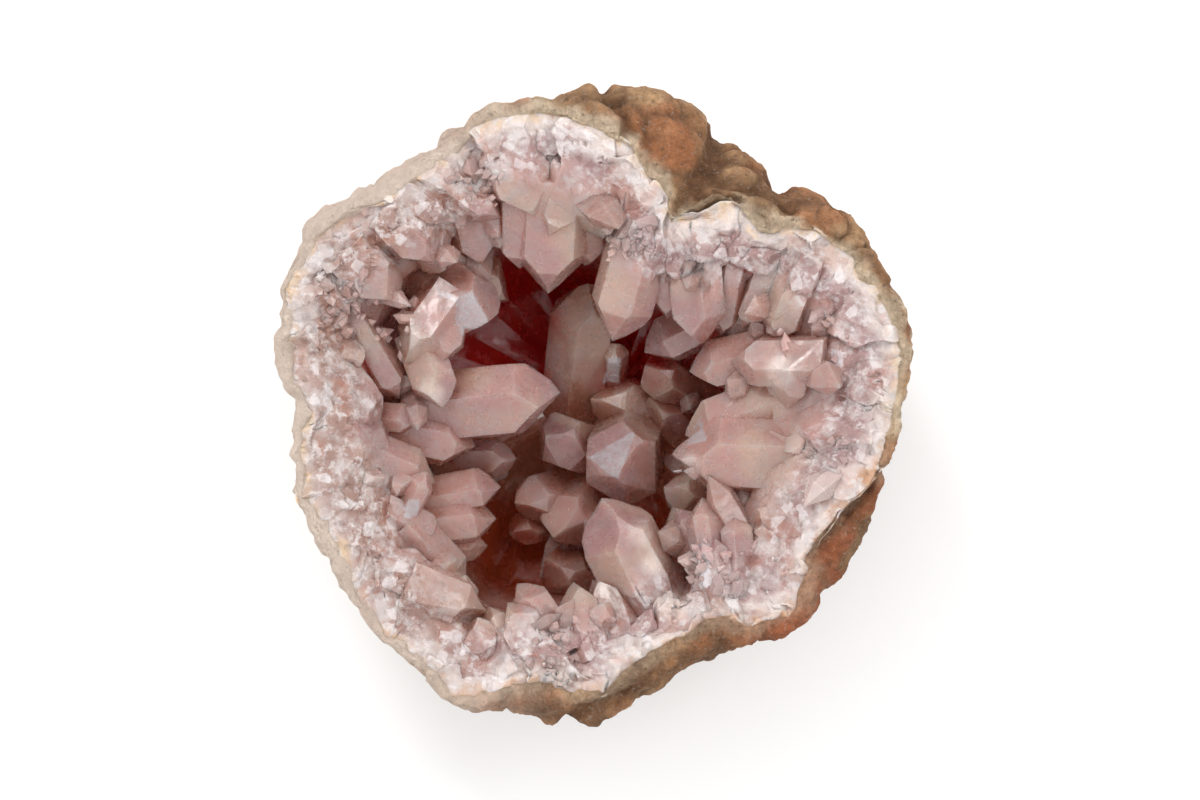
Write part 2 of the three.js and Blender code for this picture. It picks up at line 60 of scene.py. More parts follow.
ALL_HIDDEN = 0.99  # shares of hidden corners above this count as hidden
BACK_TOP = 26.0  # the back of the rind below this height has longer edges
LIES_AGAINST = 0.9  # faces closer than this to the other solid can't be seen
MEETS = 0.7  # corners of the crust closer than this to the rind are on the rim line

LOOKS = 14  # directions tried from each point for how open it is
REACH = 22.0

SUGAR = 260  # small crystals near the rim
FILL = 60  # short crystals between the large ones
GRAIN_SEED = 11
CRYSTAL_CORNERS = 13

HASH_PRIMES = (73856093, 19349663, 83492791)
HASH_SEED = 2654435761
HASH_STIR = 0x45D9F3B
WORD = 0xFFFFFFFF
FRACTION = 1 << 24
FAR_CELL = 9.0
FACET_STEP = 0.35  # height between neighbouring planes, as a share of their size

QUARTZ_IOR = 1.54
STONE_IOR = 1.5


# Numbers


def hashed(i, seed):
    """A number from 0 to 1 for each place on a grid, the same for the same seed."""
    x, y, z = (i[..., axis] * prime for axis, prime in enumerate(HASH_PRIMES))
    h = (x ^ y ^ z ^ (seed * HASH_SEED)) & WORD
    for _ in range(2):
        h = ((h ^ (h >> 16)) * HASH_STIR) & WORD
    return ((h ^ (h >> 16)) & (FRACTION - 1)) / FRACTION


def step(low, high, x):
    """0 at low and 1 at high, with a smooth way between."""
    t = np.clip((x - low) / (high - low), 0.0, 1.0)
    return t * t * (3.0 - 2.0 * t)


def noise(p, scale, seed):
    q = p / scale
    base = np.floor(q)
    f = q - base
    f = f * f * (3.0 - 2.0 * f)
    i = base.astype(np.int64)
    total = np.zeros(len(p))
    for corner in np.ndindex(2, 2, 2):
        c = np.array(corner)
        weight = np.where(c == 1, f, 1.0 - f).prod(axis=1)
        total += weight * hashed(i + c, seed)
    return 2.0 * total - 1.0


def fbm(p, scale, seed, octaves=4, fall=0.5):
    total = np.zeros(len(p))
    for k in range(octaves):
        total += noise(p, scale / 2.0**k, seed + k) * fall**k
    return total


def cells(p, size, seed):
    """The nearest jittered point: its place on the grid, the way from it, and the first two distances."""
    q = p / size
    base = np.floor(q).astype(np.int64)
    first = np.full(len(p), FAR_CELL)
    second = np.full(len(p), FAR_CELL)
    home = np.zeros((len(p), 3), np.int64)
    way = np.zeros((len(p), 3))
    for offset in np.ndindex(3, 3, 3):
        c = base + np.array(offset) - 1
        point = c + np.stack([hashed(c, seed + k) for k in range(3)], axis=1)
        d = np.linalg.norm(q - point, axis=1)
        near = d < first
        second = np.where(near, first, np.minimum(second, d))
        first = np.where(near, d, first)
        home[near] = c[near]
        way[near] = (q - point)[near]
    return home, way * size, first * size, second * size


def facets(p, size, seed, tilt):
    """Heights of a surface broken into small tilted planes."""
    home, way, _, _ = cells(p, size, seed)
    slope = np.stack([hashed(home, seed + 11 + k) for k in range(3)], axis=1) * 2.0 - 1.0
    height = hashed(home, seed + 17) - 0.5
    return (slope * way).sum(axis=1) * tilt + height * size * FACET_STEP


def linear(r, g, b):
    c = np.array([r, g, b]) / 255.0
    return np.where(c <= 0.04045, c / 12.92, ((c + 0.055) / 1.055) ** 2.4)


def blend(colour, other, share):
    return colour + (other - colour) * np.asarray(share)[:, None]


# Meshes as arrays


def arrays_of(node):
    """A CAD node's welded corners in millimetres and its triangles."""
    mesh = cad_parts[node].data
    mesh.calc_loop_triangles()
    v = np.empty(len(mesh.vertices) * 3)
    mesh.vertices.foreach_get("co", v)
    f = np.empty(len(mesh.loop_triangles) * 3, np.int64)
    mesh.loop_triangles.foreach_get("vertices", f)
    v, inverse = np.unique(np.round(v.reshape(-1, 3) / MM, 3), axis=0, return_inverse=True)
    f = inverse.reshape(-1)[f.reshape(-1, 3)]
    whole = (f[:, 0] != f[:, 1]) & (f[:, 1] != f[:, 2]) & (f[:, 0] != f[:, 2])
    return v, f[whole]


def face_normals(v, f):
    return np.cross(v[f[:, 1]] - v[f[:, 0]], v[f[:, 2]] - v[f[:, 0]])


def unit(n):
    return n / np.maximum(np.linalg.norm(n, axis=1, keepdims=True), 1e-9)


def vertex_normals(v, f):
    n = face_normals(v, f)
    total = np.zeros_like(v)
    for k in range(3):
        for axis in range(3):
            total[:, axis] += np.bincount(f[:, k], n[:, axis], len(v))
    return unit(total)


def refine(v, f, limit):
    """Splits edges until none is longer than limit(v of their middles). Extra columns of v go along."""
    for _ in range(SPLIT_ROUNDS):
        e = np.sort(np.stack([f[:, [0, 1]], f[:, [1, 2]], f[:, [2, 0]]], axis=1), axis=2)
        keys, inverse = np.unique(e[:, :, 0] * len(v) + e[:, :, 1], return_inverse=True)
        inverse = inverse.reshape(-1, 3)
        a, b = keys // len(v), keys % len(v)
        middle = (v[a] + v[b]) / 2.0
        length = np.linalg.norm(v[a, :3] - v[b, :3], axis=1)
        split = length > limit(middle)
        if not split.any():
            break
        longest = inverse[np.arange(len(f)), length[inverse].argmax(axis=1)]
        while True:
            need = split[inverse].any(axis=1) & ~split[longest]
            if not need.any():
                break
            split[longest[need]] = True
        at = np.full(len(keys), -1)
        at[split] = len(v) + np.arange(split.sum())
        v = np.vstack([v, middle[split]])
        m = at[inverse]
        count = (m >= 0).sum(axis=1)
        made = [f[count == 0]]
        for marks in (1, 2, 3):
            chosen = count == marks
            g, h = f[chosen], m[chosen]
            if marks < 3:
                first = (h >= 0).argmax(axis=1) if marks == 1 else ((h < 0).argmax(axis=1) + 1) % 3
                turn = (first[:, None] + np.arange(3)) % 3
                g = np.take_along_axis(g, turn, axis=1)
                h = np.take_along_axis(h, turn, axis=1)
            (p, q, r), (x, y, z) = g.T, h.T
            if marks == 1:
                made += [np.stack([p, x, r], 1), np.stack([x, q, r], 1)]
            elif marks == 2:
                made += [np.stack([x, q, y], 1), np.stack([p, x, y], 1), np.stack([p, y, r], 1)]
            else:
                made += [np.stack(t, 1) for t in ([p, x, z], [x, q, y], [z, y, r], [x, y, z])]
        f = np.vstack(made)
    return v, f


def smoothed(v, f, rounds, share):
    """Moves points towards the mean of their neighbours. share is 0 where they stay."""
    e = np.vstack([f[:, [0, 1]], f[:, [1, 2]], f[:, [2, 0]]])
    count = np.bincount(e[:, 0], minlength=len(v))
    for _ in range(rounds):
        mean = np.stack([np.bincount(e[:, 0], v[e[:, 1], k], len(v)) for k in range(3)], axis=1)
        mean /= np.maximum(count, 1)[:, None]
        v = v + (mean - v) * share[:, None]
    return v


def tree_of(v, f):
    return BVHTree.FromPolygons(v.tolist(), f.tolist())


def distances(tree, points):
    return np.array([tree.find_nearest(p)[3] for p in points.tolist()])


def openness(tree, points, normals, reach, seed):
    """The share of the half-space above each point that is free for that far."""
    rng = np.random.default_rng(seed)
    ways = unit(rng.normal(size=(LOOKS, 3)))
    free = np.zeros(len(points))
    starts = points + normals * 0.25
    for way in ways:
        d = unit(normals * 1.02 + way)
        free += [
            1.0 if tree.ray_cast(o, w, reach)[0] is None else 0.0
            for o, w in zip(starts.tolist(), d.tolist())
        ]
    return free / len(ways)


def piece(name, v, f, tint, node, materials, sharp, milk=None, frost_and_painted_shine=None, second=None):
    mesh = bpy.data.meshes.new(name)
    mesh.from_pydata((v * MM).tolist(), [], f.tolist())
    attribute = mesh.attributes.new("tint", "FLOAT_COLOR", "POINT")
    attribute.data.foreach_set("color", np.column_stack([tint, np.ones(len(v))]).ravel())
    if milk is not None:
        mesh.attributes.new("milk", "FLOAT", "POINT").data.foreach_set("value", milk.astype(np.float32))
    # a face attribute that marks where a white shine is painted
    if frost_and_painted_shine is not None:
        mesh.attributes.new("frost_and_painted_shine", "FLOAT", "FACE").data.foreach_set("value", frost_and_painted_shine.astype(np.float32))
    mesh.shade_smooth()
    mesh.set_sharp_from_angle(angle=math.radians(sharp))
    for material in materials:
        mesh.materials.append(material)
    if second is not None:
        mesh.polygons.foreach_set("material_index", second.astype(np.int32))
    obj = bpy.data.objects.new(name, mesh)
    bpy.context.scene.collection.objects.link(obj)
    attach(obj, "root")
    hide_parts(node)
    return obj


# Materials


class Nodes:
    def __init__(self, name):
        self.material = bpy.data.materials.new(name)
        self.material.use_nodes = True
        self.tree = self.material.node_tree
        self.shader = self.tree.nodes["Principled BSDF"]
        self.place = self.add("ShaderNodeTexCoord").outputs["Object"]

    def add(self, kind, inputs=None, **settings):
        node = self.tree.nodes.new(kind)
        for key, value in settings.items():
            setattr(node, key, value)
        for key, value in (inputs or {}).items():
            self.put(node.inputs[key], value)
        return node

    def put(self, socket, value):
        if isinstance(value, bpy.types.NodeSocket):
            self.tree.links.new(value, socket)
        else:
            socket.default_value = value

    def set(self, **inputs):
        for key, value in inputs.items():
            self.put(self.shader.inputs[key.replace("_", " ")], value)

    def noise(self, scale, detail=4.0, rough=0.55):
        made = self.add(
            "ShaderNodeTexNoise",
            {"Vector": self.place, "Scale": scale, "Detail": detail, "Roughness": rough},
        )
        return made.outputs["Fac"]

    def spread(self, value, low, high, to_low=0.0, to_high=1.0):
        made = self.add(
            "ShaderNodeMapRange",
            {"Value": value, "From Min": low, "From Max": high, "To Min": to_low, "To Max": to_high},
        )
        return made.outputs["Result"]

    def mix(self, share, a, b, way="MIX"):
        made = self.add("ShaderNodeMix", data_type="RGBA", blend_type=way)
        self.put(made.inputs[0], share)
        self.put(made.inputs[6], a)
        self.put(made.inputs[7], b)
        return made.outputs[2]

    def math(self, operation, a, b):
        return self.add("ShaderNodeMath", {0: a, 1: b}, operation=operation).outputs[0]

    def vector(self, operation, a, b):
        return self.add("ShaderNodeVectorMath", {0: a, 1: b}, operation=operation).outputs[0]

    def grains(self, scale):
        """A colour at random for each small grain."""
        made = self.add("ShaderNodeTexVoronoi", {"Vector": self.place, "Scale": scale})
        return made.outputs["Color"]

    def glitter(self, scale, share, tilt):
        """A normal that leans another way in each small grain, as broken crystal faces do."""
        grains = self.grains(scale)
        lean = self.vector("SUBTRACT", grains, (0.5, 0.5, 0.5))
        amount = self.math("MULTIPLY", share, tilt)
        lean = self.add("ShaderNodeVectorMath", {0: lean, "Scale": amount}, operation="SCALE").outputs[0]
        normal = self.add("ShaderNodeNewGeometry").outputs["Normal"]
        leaning = self.vector("ADD", normal, lean)
        return self.add("ShaderNodeVectorMath", {0: leaning}, operation="NORMALIZE").outputs[0]

    def bump(self, height, strength, distance, normal=None):
        made = self.add("ShaderNodeBump", {"Height": height, "Strength": strength, "Distance": distance})
        if normal is not None:
            self.put(made.inputs["Normal"], normal)
        return made.outputs["Normal"]


def quartz_material(name, rough, transmission, depth):
    """Milky quartz with painted glints. The attribute milk says how cloudy it is, and another attribute
    marks the faces where a white shine is painted.
    """
    n = Nodes(name)
    tint = n.add("ShaderNodeVertexColor", layer_name="tint").outputs["Color"]
    milk = n.add("ShaderNodeAttribute", attribute_name="milk").outputs["Fac"]
    painted_shine_faces = n.add("ShaderNodeAttribute", attribute_name="frost_and_painted_shine").outputs["Fac"]
    cloud = n.spread(n.noise(240.0, 9.0, 0.68), 0.47, 0.62)
    colour = n.mix(n.math("MULTIPLY", cloud, milk), tint, (0.64, 0.575, 0.56, 1.0))
    vein = n.spread(n.noise(520.0, 6.0, 0.7), 0.53, 0.60)
    vein = n.math("MULTIPLY", n.math("MULTIPLY", vein, milk), 0.75)
    colour = n.mix(vein, colour, (0.76, 0.71, 0.705, 1.0))
    # painted glints: white specks on the milky quartz in random small grains, standing in for light
    # caught by tiny crystal faces
    chance = n.add("ShaderNodeSeparateColor", {"Color": n.grains(560.0)}).outputs["Red"]
    painted_glint = n.math("MULTIPLY", n.spread(chance, 0.90, 0.92), n.spread(milk, 0.32, 0.7, 0.0, 0.5))
    colour = n.mix(painted_glint, colour, (0.86, 0.82, 0.825, 1.0))
    dim = n.spread(n.noise(330.0, 6.0, 0.65), 0.30, 0.46, 0.55, 0.0)
    colour = n.mix(n.math("MULTIPLY", dim, milk), colour, (0.33, 0.22, 0.21, 1.0))
    # painted highlight: white is painted on the marked faces, in place of the light they reflect
    shine = n.spread(n.noise(900.0, 5.0, 0.7), 0.40, 0.60, 0.5, 1.0)
    colour = n.mix(n.math("MULTIPLY", painted_shine_faces, shine), colour, (0.84, 0.79, 0.82, 1.0))
    frost_and_painted_shine = n.spread(n.noise(420.0, 4.0, 0.6), 0.42, 0.66, rough, rough + 0.28)
    broken = n.spread(milk, 0.35, 0.85)
    strength = n.math("MULTIPLY", broken, 0.4)
    sugar = n.bump(n.noise(1100.0, 6.0, 0.75), strength, 0.0010, n.glitter(750.0, broken, 0.6))
    grain = n.bump(n.noise(650.0, 5.0, 0.62), 0.16, 0.0005, sugar)
    n.set(
        Base_Color=colour,
        Roughness=frost_and_painted_shine,
        Normal=grain,
        IOR=QUARTZ_IOR,
        Subsurface_Weight=1.0,
        Subsurface_Scale=n.spread(milk, 0.33, 0.80, depth, min(depth, 0.0008)),
        Transmission_Weight=n.spread(milk, 0.33, 0.80, transmission, 0.08),
    )
    n.shader.inputs["Subsurface Radius"].default_value = (1.0, 0.95, 0.92)
    absorb = n.add("ShaderNodeVolumeAbsorption")
    absorb.inputs["Color"].default_value = (0.97, 0.74, 0.68, 1.0)
    absorb.inputs["Density"].default_value = 35.0
    n.tree.links.new(absorb.outputs["Volume"], n.tree.nodes["Material Output"].inputs["Volume"])
    return n.material


def bed_material():
    """The milky underside of the crust, where it grew on the rind."""
    n = Nodes("quartz_bed")
    cloud = n.spread(n.noise(160.0, 6.0, 0.6), 0.35, 0.65)
    n.set(
        Base_Color=n.mix(cloud, (0.74, 0.52, 0.46, 1.0), (0.90, 0.78, 0.73, 1.0)),
        Roughness=n.spread(n.noise(300.0), 0.3, 0.7, 0.6, 0.9),
        Normal=n.bump(n.noise(400.0, 5.0, 0.6), 0.3, 0.0008),
        IOR=QUARTZ_IOR,
    )
    return n.material


def rind_material():
    """Weathered stone, mottled and specked, with fewer marks where the attribute milk says it is pale."""
    n = Nodes("rind_stone")
    tint = n.add("ShaderNodeVertexColor", layer_name="tint").outputs["Color"]
    mottle = n.spread(n.noise(420.0, 8.0, 0.72), 0.36, 0.66)
    colour = n.mix(mottle, (0.66, 0.60, 0.55, 1.0), (1.32, 1.28, 1.24, 1.0))
    colour = n.mix(1.0, tint, colour, "MULTIPLY")
    pale = n.spread(n.noise(1500.0, 4.0, 0.7), 0.57, 0.70)
    colour = n.mix(n.math("MULTIPLY", pale, 0.60), colour, (0.56, 0.47, 0.39, 1.0))
    dark = n.spread(n.noise(950.0, 5.0, 0.7), 0.32, 0.43, 0.7, 0.0)
    colour = n.mix(dark, colour, (0.13, 0.075, 0.042, 1.0))
    milk = n.add("ShaderNodeAttribute", attribute_name="milk").outputs["Fac"]
    colour = n.mix(n.math("MULTIPLY", milk, 0.7), colour, tint)
    coarse = n.bump(n.noise(380.0, 8.0, 0.75), 0.9, 0.0030)
    n.set(
        Base_Color=colour,
        Roughness=n.spread(n.noise(800.0), 0.3, 0.7, 0.75, 0.97),
        Normal=n.bump(n.noise(1500.0, 6.0, 0.7), 0.8, 0.0010, coarse),
        IOR=STONE_IOR,
    )
    n.shader.inputs["Specular IOR Level"].default_value = 0.3
    return n.material


# The solids to dress

rind_v, rind_f = arrays_of("rind")
crust_v, crust_f = arrays_of("crystal_crust")
rind_tree = tree_of(rind_v, rind_f)
crust_tree = tree_of(crust_v, crust_f)


def hidden_points(v, f, other, top):
    """1 on points that touch only faces lying close against the other solid."""
    middles = v[f].mean(axis=1)
    n = unit(face_normals(v, f))
    close = distances(other, middles) < LIES_AGAINST
    close &= n[:, 2] < 0.35 if top else middles[:, 2] < RIM - 3.0
    seen = np.zeros(len(v), bool)
    seen[f[~close].ravel()] = True
    return (~seen).astype(float)


def line_distance(v, a, b):
    """How far each point is from the straight line between two places, seen from above."""
    t = np.clip(((v[:, :2] - a) @ (b - a)) / max((b - a) @ (b - a), 1e-9), 0.0, 1.0)
    return np.linalg.norm(v[:, :2] - a - t[:, None] * (b - a), axis=1)


def rim_distance(v):
    """How far each point is from the line where rind and crust meet on the rim, seen from above."""
    best = np.full(len(v), 1e9)
    for a, b in zip(meeting, np.roll(meeting, -1, axis=0)):
        best = np.minimum(best, line_distance(v, a, b))
    return best


crust_n = vertex_normals(crust_v, crust_f)
near_rind = distances(rind_tree, crust_v) < MEETS
meeting = crust_v[near_rind & (crust_v[:, 2] > RIM - 5.0) & (crust_n[:, 2] > 0.15)]
meeting = meeting[np.argsort(np.arctan2(meeting[:, 1], meeting[:, 0])), :2]


def ragged(v):
    """Shakes the neighbourhood of the rim line, the same way in the rind and in the crust."""
    away = rim_distance(v)
    share = step(7.0, 1.0, away) * step(RIM - 12.0, RIM - 4.0, v[:, 2])
    shake = np.stack([0.9 * fbm(v, 5.0, 301 + 10 * k, 3, 0.6) for k in range(3)], axis=1)
    return v + shake * share[:, None]


# The rind

CLEFTS = [  # folds between the lumps of the rind, in pixels of the photograph, and their half width
    (((718, 132), (722, 152), (704, 176), (690, 196), (672, 224)), 1.3),
    (((704, 176), (728, 182), (752, 186), (778, 192), (790, 206)), 1.2),
    (((690, 196), (724, 204), (760, 216), (776, 234)), 1.0),
    (((600, 84), (626, 118), (622, 160)), 0.9),
    (((640, 690), (604, 700), (566, 724)), 1.0),
    (((806, 560), (846, 520), (872, 470)), 1.0),
]


def place(px, py):
    """Where a pixel of the photograph is on the rim's plane."""
    x = (px - PHOTO_MIDDLE[0]) / PIXELS_PER_MM + MIDDLE_SHIFT[0]
    y = (PHOTO_MIDDLE[1] - py) / PIXELS_PER_MM + MIDDLE_SHIFT[1]
    return x, y


def cleft_share(v):
    """1 in the folds between the lumps of the rind and 0 away from them."""
    share = np.zeros(len(v))
    for line, width in CLEFTS:
        ends = np.array([place(*c) for c in line])
        for a, b in zip(ends, ends[1:]):
            d = line_distance(v, a, b) + 0.5 * noise(v, 2.5, 171)
            share = np.maximum(share, step(2.2 * width, 0.2 * width, d))
    return share * step(14.0, 22.0, v[:, 2])


def dress_rind():
    """The rind with its lumps, folds and colours, with painted shade on its lower side and in its folds
    and creases.
    """
    hidden = hidden_points(rind_v, rind_f, crust_tree, False)
    v = np.column_stack([rind_v, hidden])
    v, f = refine(v, rind_f, lambda m: np.where(m[:, 3] > ALL_HIDDEN, COARSE, FIRST_RIND))
    away = rim_distance(v)
    pinned = (v[:, 3] > 0.01) | (away < 0.8) | (v[:, 2] < 0.4)
    v[:, :3] = smoothed(v[:, :3], f, 8, np.where(pinned, 0.0, 0.5))

    def edge_length(m):
        seen = np.where(m[:, 2] > BACK_TOP, FINE_RIND, BACK_RIND)
        return np.where(m[:, 3] > ALL_HIDDEN, COARSE, seen)

    v, f = refine(v, f, edge_length)
    hidden = v[:, 3]
    v = v[:, :3]
    n = vertex_normals(v, f)
    away = rim_distance(v)
    inner = step(0.7, 0.0, away) * step(RIM - 6.0, RIM - 2.0, v[:, 2])
    shown = step(0.2, 1.4, away) * (hidden < 0.5) * step(0.2, 2.5, v[:, 2])
    _, _, first, second = cells(v + 1.8 * noise(v, 4.0, 71)[:, None], 10.0, 5)
    crease = step(2.6, 0.0, second - first)
    cleft = cleft_share(v)
    angle = np.degrees(np.arctan2(v[:, 1], v[:, 0]))
    coarse = 0.2 + 0.3 * step(115.0, 80.0, np.abs(angle + 20.0))
    lumps = 0.75 * fbm(v, 7.0, 31, 4, 0.6)
    height = 0.5 - 0.9 * crease + lumps + coarse * fbm(v, 2.8, 41, 3, 0.7) - 2.2 * cleft
    v = v + n * (height * 0.8 * shown)[:, None]
    v[:, :2] *= (1.0 - 0.7 * inner / np.maximum(np.linalg.norm(v[:, :2], axis=1), 1.0))[:, None]
    v = ragged(v)

    tan = linear(206, 166, 126)
    brown = linear(182, 134, 94)
    umber = linear(132, 98, 72)
    cream = linear(238, 220, 194)
    rust = linear(188, 116, 76)
    tint = np.tile(tan, (len(v), 1))
    tint = blend(tint, brown, step(-0.3, 0.4, fbm(v, 14.0, 51, 4, 0.6)))
    tint = blend(tint, rust, 0.55 * step(0.05, 0.6, fbm(v, 9.0, 61, 4, 0.6)))
    # painted shade: umber on the bottom side of the rind and lower down, where less light falls
    under = step(-30.0, -60.0, angle) * step(-135.0, -100.0, angle)
    under = under + 0.5 * step(RIM - 8.0, 12.0, v[:, 2])
    tint = blend(tint, umber, np.clip(under, 0.0, 0.8) * step(-0.5, 0.4, fbm(v, 5.0, 81, 4, 0.6)))
    lower_right = step(-66.0, -50.0, angle) * step(-6.0, -16.0, angle)
    layer = lower_right * step(5.0, 3.0, away + 1.5 * fbm(v, 4.0, 91, 3, 0.6))
    tint = blend(tint, linear(146, 114, 82), 0.7 * lower_right)
    tint = blend(tint, linear(184, 104, 68), 0.8 * layer)
    # painted shade: the creases and clefts between the lumps are darkened
    tint = blend(tint, umber, 0.75 * crease * step(1.0, 4.0, away))
    tint = blend(tint, linear(120, 84, 58), 0.8 * cleft)
    edge = step(3.0, 0.4, away + 1.4 * fbm(v, 3.0, 95, 3))
    tint = blend(tint, cream, edge * np.where((angle < -6.0) & (angle > -140.0), 0.35, 0.9))
    left = step(95.0, 125.0, np.abs(angle))
    skin = step(RIM - 11.0, RIM - 3.0, v[:, 2] + 5.0 * fbm(v, 9.0, 97, 4, 0.6))
    tint = blend(tint, linear(252, 232, 217), 0.85 * left * skin)
    tint = blend(tint, linear(236, 214, 204), hidden > 0.5)
    piece("rind_stone", v, f, tint, "rind", [rind_material()], 60.0, left * skin)


# The crust

STAINS = [  # places where iron has stained the quartz: x, y, z, radius, strength
    (-14.0, -26.0, 24.0, 9.0, 0.9),
    (-40.0, 7.0, 44.0, 5.0, 0.8),
    (2.0, -34.0, 42.0, 6.0, 0.6),
    (24.0, 26.0, 46.0, 5.0, 0.5),
    (22.0, 12.0, 38.0, 5.0, 0.5),
    (19.0, -6.0, 36.0, 5.0, 0.4),
    (17.0, 10.0, 43.0, 3.5, 0.6),
]

RED_WALLS = [  # walls of the hollow that are stained red above its floor: x, y, z, radius
    (-13.0, 14.0, 31.0, 10.0),
    (10.0, 7.5, 28.0, 6.0),
]

# the faces in these outlines get a white shine painted on, in place of the light they reflect
PAINTED_SHINE = [  # patches of crystal faces that shine white, outlined in pixels of the photograph
    ((637, 430), (588, 458), (618, 482)),
    ((437, 290), (456, 297), (476, 290), (490, 302), (488, 322), (462, 336), (450, 328)),
    ((687, 447), (700, 418), (708, 441)),
    ((603, 382), (611, 345), (623, 352), (622, 383)),
    ((697, 545), (707, 540), (713, 585), (700, 589)),
    ((403, 499), (420, 500), (417, 517), (404, 519)),
    ((810, 322), (826, 320), (830, 340), (814, 344)),
    ((832, 348), (846, 352), (842, 368), (830, 364)),
]

CLOUDS = [  # white clouds inside the clear crystals: pixels, and the radius
    (642, 535, 3.2),
    (654, 562, 3.0),
    (672, 606, 4.0),
    (690, 462, 2.5),
    (430, 392, 3.0),
    (408, 340, 3.0),
    (780, 372, 3.5),
]

OPEN = [  # hollows that stay free of small crystals: pixels, and the radius
    (530, 315, 12.0),
    (575, 320, 9.0),
    (636, 362, 5.0),
    (506, 555, 9.0),
    (614, 455, 9.0),
    (356, 362, 5.0),
]

CLUSTERS = [  # where the photograph shows crowds of small crystals: pixels, and the radius
    (815, 345, 7.0),
    (722, 560, 7.0),
    (400, 325, 6.0),
    (350, 300, 6.0),
    (560, 655, 8.0),
    (480, 180, 6.0),
    (630, 235, 6.0),
    (830, 460, 6.0),
]


def crust_tint(v, free, away, band, sharp):
    """Colour and milkiness of each point, with painted shade in closed-in places and painted light on
    sharp edges.
    """
    angle = np.degrees(np.arctan2(v[:, 1], v[:, 0]))
    closed = 1.0 - free
    pink = linear(231, 188, 179)
    mauve = linear(216, 174, 172)
    cream = linear(239, 212, 194)
    peach = linear(206, 142, 114)
    rust = linear(158, 80, 48)
    red = linear(190, 10, 3)
    tint = np.tile(pink, (len(v), 1))
    tint = blend(tint, mauve, step(-0.3, 0.5, fbm(v, 12.0, 101, 3)))
    tint = blend(tint, cream, 0.8 * step(0.0, 0.5, fbm(v, 10.0, 111, 2)))
    left = step(100.0, 140.0, np.abs(angle))
    tint = blend(tint, linear(158, 129, 128), 0.85 * band)
    tint = blend(tint, linear(162, 129, 114), 0.7 * band * left)
    milk = 0.30 + 0.60 * band
    skin = step(5.2, 1.5, away + 2.0 * fbm(v, 4.0, 121, 3)) * step(RIM - 9.0, RIM - 4.0, v[:, 2])
    tint = blend(tint, linear(230, 218, 212), 0.9 * skin * (1.0 - 0.5 * left))
    # peach in closed-in places between the crystals: part iron stain, part painted shade
    crevice_stain_and_shade = step(0.45, 0.85, closed + 0.15 * fbm(v, 3.0, 131, 3))
    tint = blend(tint, peach, 0.5 * crevice_stain_and_shade * (1.0 - 0.6 * band))
    # rust in the most closed-in places: part iron stain, part painted shade
    dark = step(0.75, 1.0, closed + 0.12 * fbm(v, 3.0, 141, 3)) * (1.0 - 0.7 * band)
    tint = blend(tint, rust, 0.4 * dark)
    milk = milk * (1.0 - 0.7 * crevice_stain_and_shade * (1.0 - band))
    for x, y, z, radius, strength in STAINS:
        d = np.linalg.norm(v - np.array([x, y, z]), axis=1) + 1.6 * fbm(v, 4.0, 151, 2)
        share = strength * step(radius, radius * 0.35, d)
        tint = blend(tint, rust, 0.8 * share)
        tint = blend(tint, red, share * step(0.3, 0.65, closed))
        milk = milk * (1.0 - share)
    deep = step(27.0, 20.0, v[:, 2] + 1.2 * fbm(v, 4.0, 155, 3))
    tint = blend(tint, rust, 0.6 * step(34.0, 24.0, v[:, 2]) * step(0.4, 0.8, closed))
    near = np.where(v[:, 1:2] > -15.0, linear(186, 122, 96), linear(176, 72, 34))
    tint = blend(tint, np.where(v[:, 1:2] > 3.0, red, near), 0.97 * deep)
    milk = milk * (1.0 - deep)
    for x, y, z, radius in RED_WALLS:
        d = np.linalg.norm(v - np.array([x, y, z]), axis=1) + 1.2 * fbm(v, 4.0, 156, 2)
        share = step(radius, 0.4 * radius, d) * step(0.25, 0.5, closed)
        tint = blend(tint, red, 0.9 * share)
        milk = milk * (1.0 - share)
    for px, py, radius in CLOUDS:
        x, y = place(px, py)
        d = np.hypot(v[:, 0] - x, v[:, 1] - y) + 0.8 * noise(v, 2.0, 157)
        share = step(radius, 0.3 * radius, d) * step(38.0, 42.0, v[:, 2])
        tint = blend(tint, linear(244, 228, 218), 0.75 * share)
        milk = milk + 0.2 * share * (1.0 - band)
    # painted light: sharp crystal edges are lightened, in place of the light scattered out at them
    painted_edge_light = np.clip(sharp * (1.0 - band) * (1.0 - deep), 0.0, 1.0)
    tint = blend(tint, linear(240, 206, 186), 0.45 * painted_edge_light)
    seam = step(1.5, 0.2, away + 0.8 * fbm(v, 2.5, 161, 3)) * band
    low = step(0.0, -12.0, angle) * step(-150.0, -110.0, angle)
    tint = blend(tint, linear(226, 196, 156), 0.7 * seam)
    tint = blend(tint, linear(196, 132, 92), 0.5 * seam * low)
    return tint, milk


def within(v, outline):
    """True for points that lie inside an outline of photograph pixels, seen from above."""
    corners = [place(*c) for c in outline]
    inside = np.zeros(len(v), bool)
    for (x0, y0), (x1, y1) in zip(corners, corners[1:] + corners[:1]):
        cross = (y0 > v[:, 1]) != (y1 > v[:, 1])
        inside ^= cross & (v[:, 0] < (x1 - x0) * (v[:, 1] - y0) / (y1 - y0 + 1e-9) + x0)
    return inside


def painted_shine_faces(v, reach):
    """True for points of the crystal faces under the outlines where a white shine is painted, and up to
    reach below them.
    """
    marked = np.zeros(len(v), bool)
    for outline in PAINTED_SHINE:
        x, y = np.mean([place(*c) for c in outline], axis=0)
        hit, normal, _, _ = crust_tree.ray_cast((x, y, RIM + 20.0), (0.0, 0.0, -1.0))
        if hit is not None:
            off = np.abs((v[:, :3] - np.array(hit)) @ np.array(normal))
            marked |= (off < reach) & within(v, outline)
    return marked


def band_share(v):
    """1 on the broken rim and 0 in the hollow."""
    away = rim_distance(v) + 2.0 * noise(v[:, :3], 5.0, 201)
    return step(15.0, 6.0, away) * step(RIM - 13.0, RIM - 5.0, v[:, 2])


